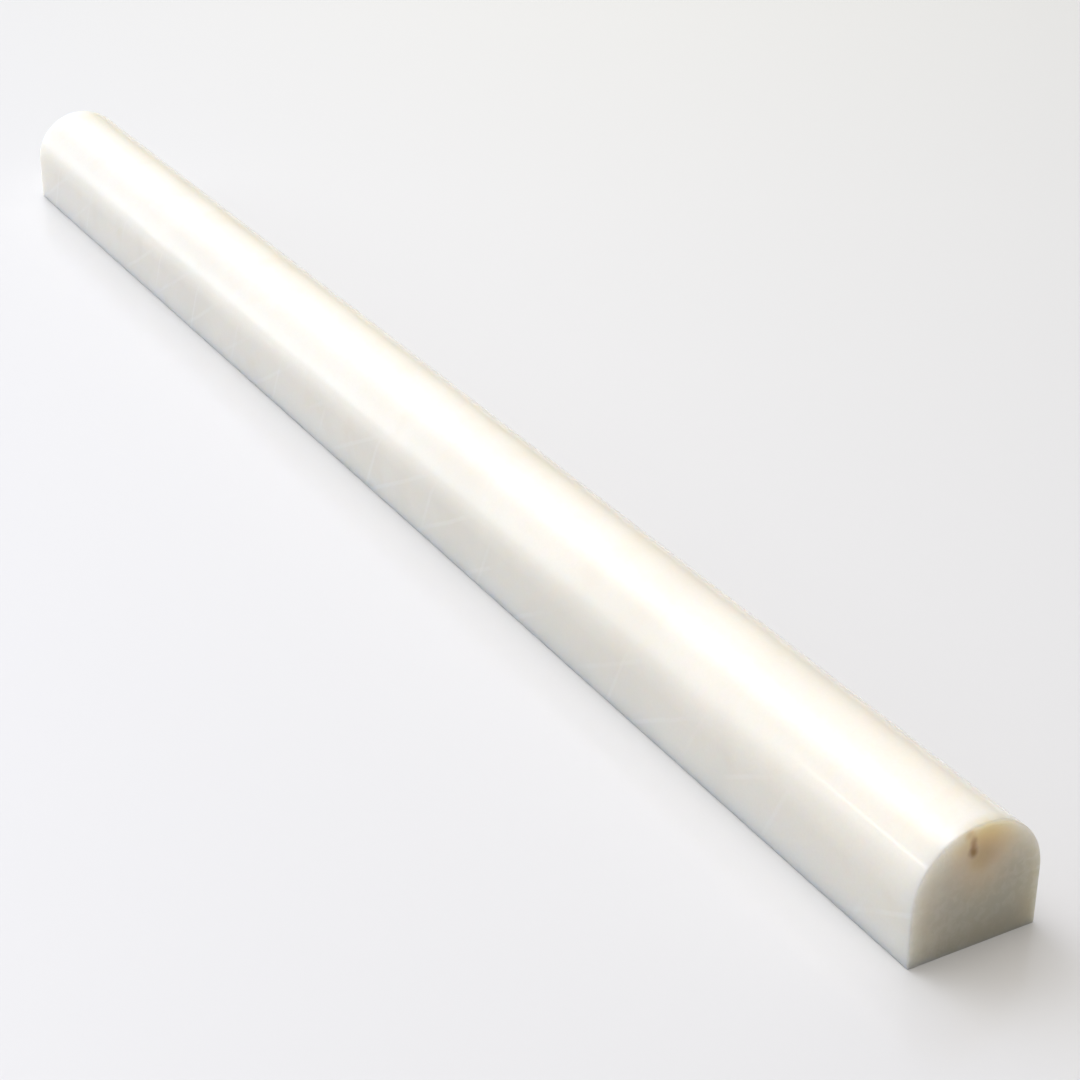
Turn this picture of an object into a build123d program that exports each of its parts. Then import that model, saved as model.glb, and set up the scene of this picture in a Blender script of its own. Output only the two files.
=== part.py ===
from build123d import *
import os

# Half-round marble liner tile: one bar of marble with a flat sawn back, low flat sides,
# a polished half-round top and square sawn ends.
# All sizes are millimetres. +X runs along the bar, Y across it and +Z up out of its back.
# The origin is the centre of the back.

# Driving dimensions
LENGTH = 305.0       # sawn end to sawn end, the 12 in module of the courses that it borders
WIDTH = 19.0         # across the flat sides, which is also the diameter of the half-round
SIDE_HEIGHT = 8.0    # flat side, from the back up to where the half-round starts
END_EASE = 0.2       # radius rubbed onto the sawn ends where they meet the sides and the top
BACK_ARRIS = 0.25    # small bevel along the long edges of the back

TOP_RADIUS = WIDTH / 2


def liner_section():
    """The cross-section at one end: back, two flat sides, and a half-round tangent to both."""
    with BuildSketch(Plane.YZ.offset(-LENGTH / 2)) as section:
        with BuildLine():
            Polyline(
                (-TOP_RADIUS, SIDE_HEIGHT),
                (-TOP_RADIUS, BACK_ARRIS),
                (BACK_ARRIS - TOP_RADIUS, 0),
                (TOP_RADIUS - BACK_ARRIS, 0),
                (TOP_RADIUS, BACK_ARRIS),
                (TOP_RADIUS, SIDE_HEIGHT),
            )
            CenterArc((0, SIDE_HEIGHT), TOP_RADIUS, 0, 180)
        make_face()
    return section.sketch


def rubbed_edges(bar):
    """The edges of both sawn ends that hands and cloths rub: side, half-round and side."""
    end_faces = bar.faces().filter_by(Axis.X)
    return [edge for edge in end_faces.edges() if edge.center().Z > BACK_ARRIS]


def marble_liner():
    """The whole bar: its section drawn out along its length, with the ends' arrises eased."""
    bar = extrude(liner_section(), amount=LENGTH, dir=(1, 0, 0))
    return fillet(rubbed_edges(bar), radius=END_EASE)


os.makedirs("parts", exist_ok=True)
export_step(marble_liner(), "parts/marble_liner.step")
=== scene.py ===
import math

import bpy
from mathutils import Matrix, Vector


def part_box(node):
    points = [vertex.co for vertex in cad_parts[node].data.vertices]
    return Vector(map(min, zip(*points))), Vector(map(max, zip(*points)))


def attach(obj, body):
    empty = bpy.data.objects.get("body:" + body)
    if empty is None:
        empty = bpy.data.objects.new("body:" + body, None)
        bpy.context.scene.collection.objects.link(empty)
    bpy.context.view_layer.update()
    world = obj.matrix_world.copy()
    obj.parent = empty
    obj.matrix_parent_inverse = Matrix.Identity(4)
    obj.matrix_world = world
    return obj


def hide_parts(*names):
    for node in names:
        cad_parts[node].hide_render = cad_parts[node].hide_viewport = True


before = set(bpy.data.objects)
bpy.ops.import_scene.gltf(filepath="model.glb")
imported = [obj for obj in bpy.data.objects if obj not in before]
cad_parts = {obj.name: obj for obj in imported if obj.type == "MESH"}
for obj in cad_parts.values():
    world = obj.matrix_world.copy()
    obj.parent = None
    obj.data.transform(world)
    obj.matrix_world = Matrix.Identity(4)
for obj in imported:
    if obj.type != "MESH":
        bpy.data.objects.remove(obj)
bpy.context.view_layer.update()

# The bar
# One piece of fine-grained cream marble, profiled from a slab and cut to length with a saw.
# Its sides and half-round top are polished by hand, so they are very slightly wavy, and its
# two ends and its back keep the sawn face, with the arrises round the ends rubbed off.
MM = 0.001
tiny = 0.001 * MM
bar_low, bar_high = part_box("marble_liner")
bar_length = bar_high.x - bar_low.x
half_width = bar_high.y
side_height = bar_high.z - half_width
end_ease = 0.2 * MM
back_arris = 0.25 * MM

# How finely the mesh is divided: round the top, up a side, across the back, round a rubbed
# arris, along the 5 mm next to each end, along the rest, and from an end's rim to its middle.
round_steps = 96
side_steps = 24
back_steps = 48
ease_steps = 4
end_zone = 5 * MM
end_zone_cuts = 14
middle_cuts = 150
end_rings = 24


def pick(parts, test):
    """Selects the vertices, edges or faces of the piece in hand that pass the test."""
    bpy.ops.mesh.select_all(action="DESELECT")
    bpy.ops.object.mode_set(mode="OBJECT")
    for part in getattr(bpy.context.object.data, parts):
        part.select = test(part)
    bpy.ops.object.mode_set(mode="EDIT")


def ends_of(edge):
    """The two end points of an edge of the piece in hand."""
    vertices = bpy.context.object.data.vertices
    return [vertices[i].co for i in edge.vertices]


# A ring across the far end: its lower half goes, and what is left runs down the flat sides
# and is closed along the back.
bpy.ops.object.select_all(action="DESELECT")
bpy.ops.mesh.primitive_circle_add(
    vertices=2 * round_steps,
    radius=half_width,
    fill_type="NOTHING",
    location=(bar_low.x, 0, side_height),
    rotation=(0, math.radians(90), 0),
)
bar = bpy.context.object
bar.name = "marble_bar"
bpy.ops.object.transform_apply(location=True, rotation=True, scale=True)
bpy.ops.object.mode_set(mode="EDIT")
bpy.ops.mesh.select_mode(type="VERT")
pick("vertices", lambda v: v.co.z < side_height - tiny)
bpy.ops.mesh.delete(type="VERT")
pick("vertices", lambda v: v.co.z < side_height + tiny)
bpy.ops.mesh.extrude_region_move(TRANSFORM_OT_translate={"value": (0, 0, -side_height)})
bpy.ops.mesh.edge_face_add()
bpy.ops.mesh.bevel(affect="VERTICES", offset=back_arris, segments=1)
bpy.ops.mesh.select_mode(type="EDGE")
pick("edges", lambda e: all(abs(abs(p.y) - half_width) < tiny for p in ends_of(e)))
bpy.ops.mesh.subdivide(number_cuts=side_steps - 1)
pick("edges", lambda e: all(p.z < tiny for p in ends_of(e)))
bpy.ops.mesh.subdivide(number_cuts=back_steps - 1)

# The section is closed with a face, which is drawn out along the bar in three stretches.
bpy.ops.mesh.select_all(action="SELECT")
bpy.ops.mesh.edge_face_add()
for stretch in (end_zone, bar_length - 2 * end_zone, end_zone):
    bpy.ops.mesh.extrude_region_move(TRANSFORM_OT_translate={"value": (stretch, 0, 0)})
bpy.ops.mesh.select_all(action="SELECT")
bpy.ops.mesh.normals_make_consistent(inside=False)


def at_an_end(point):
    """Whether a point lies in the plane of one of the sawn ends."""
    return abs(abs(point.x) - bar_high.x) < tiny


# The arrises round the sawn ends are rubbed, and close rings lie behind them.
pick(
    "edges",
    lambda e: all(at_an_end(p) and p.z > back_arris - tiny for p in ends_of(e)),
)
bpy.ops.mesh.bevel(affect="EDGES", offset=end_ease, segments=ease_steps, profile=0.5)
bpy.ops.mesh.select_all(action="SELECT")
bpy.ops.mesh.remove_doubles(threshold=tiny)


def run_along(edge):
    """How far an edge runs along the bar."""
    start, end = ends_of(edge)
    return abs(end.x - start.x)


pick("edges", lambda e: 2 * end_ease < run_along(e) <= end_zone + tiny)
bpy.ops.mesh.subdivide(number_cuts=end_zone_cuts)
pick("edges", lambda e: run_along(e) > end_zone + tiny)
bpy.ops.mesh.subdivide(number_cuts=middle_cuts)

# Each end face gets rings down to its middle, so that light and relief are even across it.
square_on = 0.999
bpy.ops.mesh.select_mode(type="FACE")
for end_x in (bar_low.x, bar_high.x):
    pick("polygons", lambda f: abs(f.normal.x) > square_on and abs(f.center.x - end_x) < tiny)
    middle = (end_x, 0, side_height)
    for ring in range(end_rings, 1, -1):
        shrink = (ring - 1) / ring
        bpy.ops.mesh.extrude_region_move()
        bpy.ops.transform.resize(value=(1, shrink, shrink), center_override=middle)
    bpy.ops.mesh.merge(type="CENTER")
bpy.ops.object.mode_set(mode="OBJECT")
sharpest_smooth_edge = math.radians(35)
bpy.ops.object.shade_smooth_by_angle(angle=sharpest_smooth_edge)

# Hand polishing leaves the sides and the top very slightly wavy, always below the true face.
wave_depth = 0.035 * MM
wave_length = 16 * MM
polish_from = 1.5 * back_arris
polished_group = bar.vertex_groups.new(name="polished")
polished_group.add(
    [v.index for v in bar.data.vertices if v.co.z > polish_from and not at_an_end(v.co)],
    1,
    "REPLACE",
)
waves = bpy.data.textures.new("polishing_waves", "CLOUDS")
waves.noise_scale = wave_length
waves.noise_depth = 1
wavy = bar.modifiers.new("polishing_waves", "DISPLACE")
wavy.texture = waves
wavy.texture_coords = "LOCAL"
wavy.vertex_group = "polished"
wavy.mid_level = 1
wavy.strength = wave_depth
bpy.ops.object.modifier_apply(modifier="polishing_waves")

# The stone is a fine calcite marble that light sinks into: cream and softly clouded. Its sides
# carry faint pale lines like healed veins, which are a painted reflection of a gridded surface.
# Iron has stained it amber and brown round a small fissure at the near end, and the sawn ends
# are darker low down and away from their rims, partly from dirt and partly from painted shade.
cream = (243, 239, 230)
cloud_grey = (231, 228, 219)
cloud_tan = (238, 230, 214)
# Pale of the painted reflection of a grid on the sides.
reflection_white = (252, 251, 247)
# Partly dirt and partly painted shade on the sawn ends.
dirt_and_shade = (212, 208, 189)
# Painted shade at the foot of the sawn ends.
foot_shade = (190, 184, 165)
amber = (238, 222, 186)
gold = (235, 217, 169)
rust_brown = (181, 146, 92)

# Clouds: the size, detail and twist of their lumps, from where in a lump they show and where
# they are full, their strength and their colour.
clouds = (
    (26 * MM, 3, 0.6, 0.42, 0.75, 0.55, cloud_grey),
    (9 * MM, 3, 0.4, 0.5, 0.8, 0.45, cloud_tan),
)
crystal_size = 0.45 * MM

# Painted reflection of a grid, as pale lines: how each set of them leans, in radians, and how
# far apart they lie. They are full low on the sides and gone where the top begins to turn over.
reflection_line_sets = (
    ((0, -0.45, 0.12), 17 * MM),
    ((0, -1.05, -0.08), 8 * MM),
)
reflection_line_thickness = 0.9 * MM
reflection_patch = 14 * MM
reflection_full_height = 7.5 * MM
reflection_top_height = 12 * MM
unit_wave = math.pi / 10  # how long one wave of the wave texture is at a scale of 1

# Ends darkened, partly by dirt and partly by painted shade: the middle and reach of the film
# and of its darker foot, a painted shade. Along the bar they reach so far that both ends match.
both_ends = 10 * bar_length
dirt_and_shade_middle = (0, 4 * MM, 3 * MM)
dirt_and_shade_reach = (both_ends, 20 * MM, 16 * MM)
foot_shade_middle = (0, 5 * MM, 0)
foot_shade_reach = (both_ends, 16 * MM, 6 * MM)
foot_shade_strength = 0.45
thinnest_dirt_and_shade = 0.78
blotch_size = 1.3 * MM

# The stain: where each patch has its middle on the near end, across and up, how far it reaches
# into the bar, across and up, all in millimetres, and its strength and colour.
stain_patches = (
    (0.5, 12.0, 2.0, 6.5, 8.0, 0.7, amber),
    (0.9, 15.2, 2.2, 6.5, 5.0, 0.9, amber),
    (0.6, 15.0, 1.5, 2.9, 3.2, 0.78, gold),
    (0.1, 12.6, 1.5, 2.7, 2.7, 0.85, gold),
    (0.6, 12.8, 1.6, 3.4, 2.8, 0.24, rust_brown),
    (-1.25, 13.9, 1.4, 0.9, 1.35, 1.0, rust_brown),
    (-1.3, 15.0, 1.2, 0.7, 1.6, 0.6, rust_brown),
    (-2.0, 16.5, 0.8, 1.2, 1.0, 0.4, rust_brown),
)
stray_size = 1.8 * MM
stray_distance = 0.9 * MM

# Relief: the size of its features, and their depth in millimetres.
pore_size = 0.8 * MM
pore_depth = 0.004
saw_pitch = 1.1 * MM
saw_depth = 0.006
torn_size = 0.5 * MM
torn_depth = 0.03

# The gloss changes a little from patch to patch. Light goes deepest for red.
gloss_patch = 6 * MM
light_depth = 6 * MM
light_depth_by_colour = (1.0, 0.85, 0.65)
calcite_ior = 1.55


def srgb(red, green, blue):
    """A colour as the eye names it, 0 to 255, as the linear colour that the shader takes."""
    def linear(c):
        c = c / 255
        return c / 12.92 if c <= 0.04045 else ((c + 0.055) / 1.055) ** 2.4

    return (linear(red), linear(green), linear(blue), 1)


def add_node(tree, kind, inputs, **settings):
    """Adds a node; each of its inputs is a value or another node's output."""
    made = tree.nodes.new(kind)
    for name, value in settings.items():
        setattr(made, name, value)
    for name, value in inputs.items():
        if isinstance(value, bpy.types.NodeSocket):
            tree.links.new(value, made.inputs[name])
        else:
            made.inputs[name].default_value = value
    return made


def mottle(tree, place, size, detail=2.0, twist=0.0):
    """Noise from 0 to 1 with lumps of about the given size."""
    inputs = {"Vector": place, "Scale": 1 / size, "Detail": detail, "Distortion": twist}
    return add_node(tree, "ShaderNodeTexNoise", inputs).outputs["Fac"]


def rise(tree, value, low, high, top=1.0):
    """Goes smoothly from nothing at low to top at high."""
    inputs = {"Value": value, "From Min": low, "From Max": high, "To Min": 0, "To Max": top}
    made = add_node(tree, "ShaderNodeMapRange", inputs, interpolation_type="SMOOTHSTEP")
    return made.outputs["Result"]


def sums(tree, operation, first, second):
    """The sum, product or other result of two values."""
    return add_node(tree, "ShaderNodeMath", {0: first, 1: second}, operation=operation).outputs[0]


def vectors(tree, operation, inputs):
    """The sum, multiple or other result of vectors."""
    return add_node(tree, "ShaderNodeVectorMath", inputs, operation=operation).outputs


def tint(tree, amount, under, over):
    """Lays one colour over another by an amount from 0 to 1."""
    inputs = {0: amount, 6: under, 7: over}
    return add_node(tree, "ShaderNodeMix", inputs, data_type="RGBA").outputs[2]


def spot(tree, place, middle, reach, core):
    """A soft spot round a middle: full within the core, gone at its reach along each axis."""
    inputs = {"Vector": place, "Location": middle, "Scale": reach}
    from_middle = add_node(tree, "ShaderNodeMapping", inputs, vector_type="TEXTURE").outputs[0]
    distance = vectors(tree, "LENGTH", {0: from_middle})["Value"]
    return rise(tree, distance, low=1, high=core)


def painted_reflection_lines(tree, place, lean, spacing):
    """Pale lines leaning one way, about evenly spaced: a painted reflection of a grid."""
    turned = add_node(tree, "ShaderNodeMapping", {"Vector": place, "Rotation": lean}).outputs[0]
    inputs = {"Vector": turned, "Scale": unit_wave / spacing, "Distortion": 0.7, "Detail": 2}
    bands = add_node(tree, "ShaderNodeTexWave", inputs).outputs["Fac"]
    edge = math.cos(math.pi * reflection_line_thickness / spacing)
    lines = rise(tree, bands, low=0.5 + 0.5 * edge, high=1)
    patches = rise(tree, mottle(tree, place, reflection_patch), low=0.35, high=0.62, top=0.3)
    height = add_node(tree, "ShaderNodeSeparateXYZ", {"Vector": place}).outputs["Z"]
    low_down = rise(tree, height, reflection_top_height, reflection_full_height)
    return sums(tree, "MULTIPLY", sums(tree, "MULTIPLY", lines, patches), low_down)


def make_marble(name, roughness, gloss_change, relief, dirty_and_shaded=False):
    """The bar's stone, with the finish of one kind of its faces."""
    material = bpy.data.materials.new(name)
    material.use_nodes = True
    tree = material.node_tree
    shader = tree.nodes["Principled BSDF"]
    place = add_node(tree, "ShaderNodeTexCoord", {}).outputs["Object"]

    # Grey and tan clouds in the cream, then a painted grid reflection and the fine crystal grain.
    colour = srgb(*cream)
    for size, detail, twist, start, full, strength, tone in clouds:
        lumps = mottle(tree, place, size, detail, twist)
        colour = tint(tree, rise(tree, lumps, start, full, strength), colour, srgb(*tone))
    # The pale lines laid next are a painted reflection of a grid.
    for lean, spacing in reflection_line_sets:
        colour = tint(tree, painted_reflection_lines(tree, place, lean, spacing), colour, srgb(*reflection_white))
    grain = rise(tree, mottle(tree, place, crystal_size), low=0.3, high=0.75, top=0.16)
    colour = tint(tree, grain, colour, srgb(*cloud_grey))

    # Dirt and painted shade, in uneven blotches, with painted shade thickest at the foot.
    if dirty_and_shaded:
        dirt_and_shade_amount = spot(tree, place, dirt_and_shade_middle, dirt_and_shade_reach, core=0.2)
        lumps = mottle(tree, place, blotch_size, detail=4, twist=0.5)
        blotches = rise(tree, lumps, low=0.35, high=0.65, top=0.36)
        dirt_and_shade_amount = sums(tree, "MULTIPLY", dirt_and_shade_amount, sums(tree, "ADD", blotches, thinnest_dirt_and_shade))
        colour = tint(tree, dirt_and_shade_amount, colour, srgb(*dirt_and_shade))
        # A painted shade darkens the foot of each end.
        foot = spot(tree, place, foot_shade_middle, foot_shade_reach, core=0.2)
        foot = sums(tree, "MULTIPLY", foot, foot_shade_strength)
        colour = tint(tree, foot, colour, srgb(*foot_shade))

    # The iron stain round the fissure starts on the top arris of the near end. Each patch's
    # outline strays a little, as the crystals lead it.
    inputs = {"Vector": place, "Scale": 1 / stray_size, "Detail": 2}
    wander = add_node(tree, "ShaderNodeTexNoise", inputs).outputs["Color"]
    wander = vectors(tree, "ADD", {0: wander, 1: (-0.5, -0.5, -0.5)})[0]
    wander = vectors(tree, "SCALE", {0: wander, "Scale": stray_distance})[0]
    strayed = vectors(tree, "ADD", {0: place, 1: wander})[0]
    for across, up, deep, wide, high, strength, tone in stain_patches:
        middle = (bar_high.x, across * MM, up * MM)
        patch = spot(tree, strayed, middle, (deep * MM, wide * MM, high * MM), core=0.1)
        colour = tint(tree, sums(tree, "MULTIPLY", patch, strength), colour, srgb(*tone))
    tree.links.new(colour, shader.inputs["Base Color"])

    inputs = {
        "Value": mottle(tree, place, gloss_patch, detail=3),
        "To Min": roughness - gloss_change,
        "To Max": roughness + gloss_change,
    }
    gloss = add_node(tree, "ShaderNodeMapRange", inputs).outputs["Result"]
    tree.links.new(gloss, shader.inputs["Roughness"])
    inputs = {"Height": relief(tree, place), "Strength": 1, "Distance": 1 * MM}
    bump = add_node(tree, "ShaderNodeBump", inputs)
    tree.links.new(bump.outputs["Normal"], shader.inputs["Normal"])
    shader.inputs["IOR"].default_value = calcite_ior
    shader.inputs["Subsurface Weight"].default_value = 1
    shader.inputs["Subsurface Radius"].default_value = light_depth_by_colour
    shader.inputs["Subsurface Scale"].default_value = light_depth
    return material


def polish_relief(tree, place):
    """The fine pores that polishing leaves."""
    return sums(tree, "MULTIPLY", mottle(tree, place, pore_size), pore_depth)


def saw_relief(rings_about, blade_middle):
    """Arcs that the blade leaves, with the torn crystals between them."""
    def relief(tree, place):
        inputs = {"Vector": place, "Location": [-c for c in blade_middle]}
        from_blade = add_node(tree, "ShaderNodeMapping", inputs).outputs[0]
        inputs = {"Vector": from_blade, "Scale": unit_wave / saw_pitch, "Distortion": 0.8}
        arcs = add_node(
            tree, "ShaderNodeTexWave", inputs, wave_type="RINGS", rings_direction=rings_about
        ).outputs["Fac"]
        torn = sums(tree, "MULTIPLY", mottle(tree, place, torn_size, detail=3), torn_depth)
        return sums(tree, "ADD", sums(tree, "MULTIPLY", arcs, saw_depth), torn)

    return relief


end_arcs = saw_relief(rings_about="X", blade_middle=(0, -70 * MM, 150 * MM))
back_arcs = saw_relief(rings_about="Z", blade_middle=(40 * MM, 240 * MM, 0))
for marble in (
    make_marble("polished_marble", roughness=0.1, gloss_change=0.02, relief=polish_relief),
    make_marble("sawn_marble_end", roughness=0.45, gloss_change=0.06, relief=end_arcs, dirty_and_shaded=True),
    make_marble("sawn_marble_back", roughness=0.6, gloss_change=0.06, relief=back_arcs),
):
    bar.data.materials.append(marble)

# The sawn finishes go on the ends, with their rubbed arrises, and on the back, without its
# bevels. The rest keeps the polish.
end_facing = 0.2
back_facing = -0.9
bpy.ops.object.mode_set(mode="EDIT")
for finish, faces in (
    (1, lambda f: abs(f.normal.x) > end_facing),
    (2, lambda f: f.normal.z < back_facing),
):
    pick("polygons", faces)
    bar.active_material_index = finish
    bpy.ops.object.material_slot_assign()
bpy.ops.object.mode_set(mode="OBJECT")

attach(bar, "root")
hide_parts("marble_liner")

# The floor
# A plain pale sheet, for the picture alone. It glows very faintly, so that the foot of the bar
# stays light.
bpy.ops.object.select_all(action="DESELECT")
bpy.ops.mesh.primitive_plane_add(size=60, location=(0, 0, 0))
floor = bpy.context.object
floor.name = "floor"
floor_material = bpy.data.materials.new("pale_floor")
floor_material.use_nodes = True
floor_shader = floor_material.node_tree.nodes["Principled BSDF"]
floor_shader.inputs["Base Color"].default_value = (0.676, 0.688, 0.707, 1)
floor_shader.inputs["Emission Color"].default_value = (1, 1, 1, 1)
floor_shader.inputs["Emission Strength"].default_value = 0.055
floor_shader.inputs["Roughness"].default_value = 0.2
floor.data.materials.append(floor_material)

# The studio
# Soft lights that fade into a dim room: a broad one beyond the far end and overhead, and
# weaker ones round it, in front of a plain pale backdrop that lights nothing itself.
backdrop = (0.78, 0.78, 0.78, 1)
room_light = 0.03

# Each light's elevation and azimuth, how tight it is, and its colour with its strength.
# Azimuth 0 is beyond the far end, and 90 is to the left of the bar.
soft_lights = (
    (35, 0, 14, (1.63, 1.71, 2.12)),
    (35, 330, 14, (0.78, 0.78, 0.81)),
    (90, 0, 14, (4.52, 4.22, 3.86)),
    (50, 15, 30, (3.56, 3.52, 3.44)),
    (20, 50, 14, (1.86, 1.88, 1.88)),
    (3, 32, 60, (1.34, 1.38, 1.33)),
    (8, 30, 14, (0.81, 1.01, 1.32)),
    (8, 330, 14, (0.54, 0.53, 0.36)),
)
world = bpy.data.worlds.new("studio_room")
world.use_nodes = True
room = world.node_tree
towards = add_node(room, "ShaderNodeTexCoord", {}).outputs["Generated"]
glow = (room_light, room_light, room_light)
for elevation, azimuth, tightness, strength in soft_lights:
    up, turn = math.radians(elevation), math.radians(azimuth)
    aim = (-math.cos(turn) * math.cos(up), -math.sin(turn) * math.cos(up), math.sin(up))
    facing = vectors(room, "DOT_PRODUCT", {0: towards, 1: aim})["Value"]
    off_axis = sums(room, "MULTIPLY", sums(room, "SUBTRACT", facing, 1), tightness)
    fade = add_node(room, "ShaderNodeMath", {0: off_axis}, operation="EXPONENT").outputs[0]
    beam = vectors(room, "SCALE", {0: strength, "Scale": fade})[0]
    glow = vectors(room, "ADD", {0: glow, 1: beam})[0]
seen_by_camera = add_node(room, "ShaderNodeLightPath", {}).outputs["Is Camera Ray"]
room_colour = tint(room, seen_by_camera, glow, backdrop)
room.links.new(room_colour, room.nodes["Background"].inputs["Color"])
bpy.context.scene.world = world

# A small lamp to the left, whose reflection is the thin line on the round near the near end.
lamp = bpy.data.lights.new("side_lamp", "AREA")
lamp.shape = "RECTANGLE"
lamp.size = 0.15
lamp.size_y = 0.045
lamp.energy = 0.07
side_lamp = bpy.data.objects.new("side_lamp", lamp)
lamp_aim = Vector((-0.628, -0.704, 0.333))
side_lamp.location = (-0.607, -0.852, 0.413)
side_lamp.rotation_mode = "QUATERNION"
side_lamp.rotation_quaternion = lamp_aim.to_track_quat("Z", "Y")
bpy.context.scene.collection.objects.link(side_lamp)

# The camera
# It stands over the near end, to the left of the bar, and looks down along it.
camera_data = bpy.data.cameras.new("camera")
camera_data.sensor_width = 36
camera_data.lens = 78.3
camera_data.clip_start = 0.01
camera = bpy.data.objects.new("camera", camera_data)
camera.location = (0.3212, -0.1546, 0.1716)
camera.rotation_euler = [math.radians(angle) for angle in (62.18, -0.23, 60.53)]
bpy.context.scene.collection.objects.link(camera)
bpy.context.scene.camera = camera
bpy.context.scene.view_settings.view_transform = "Standard"
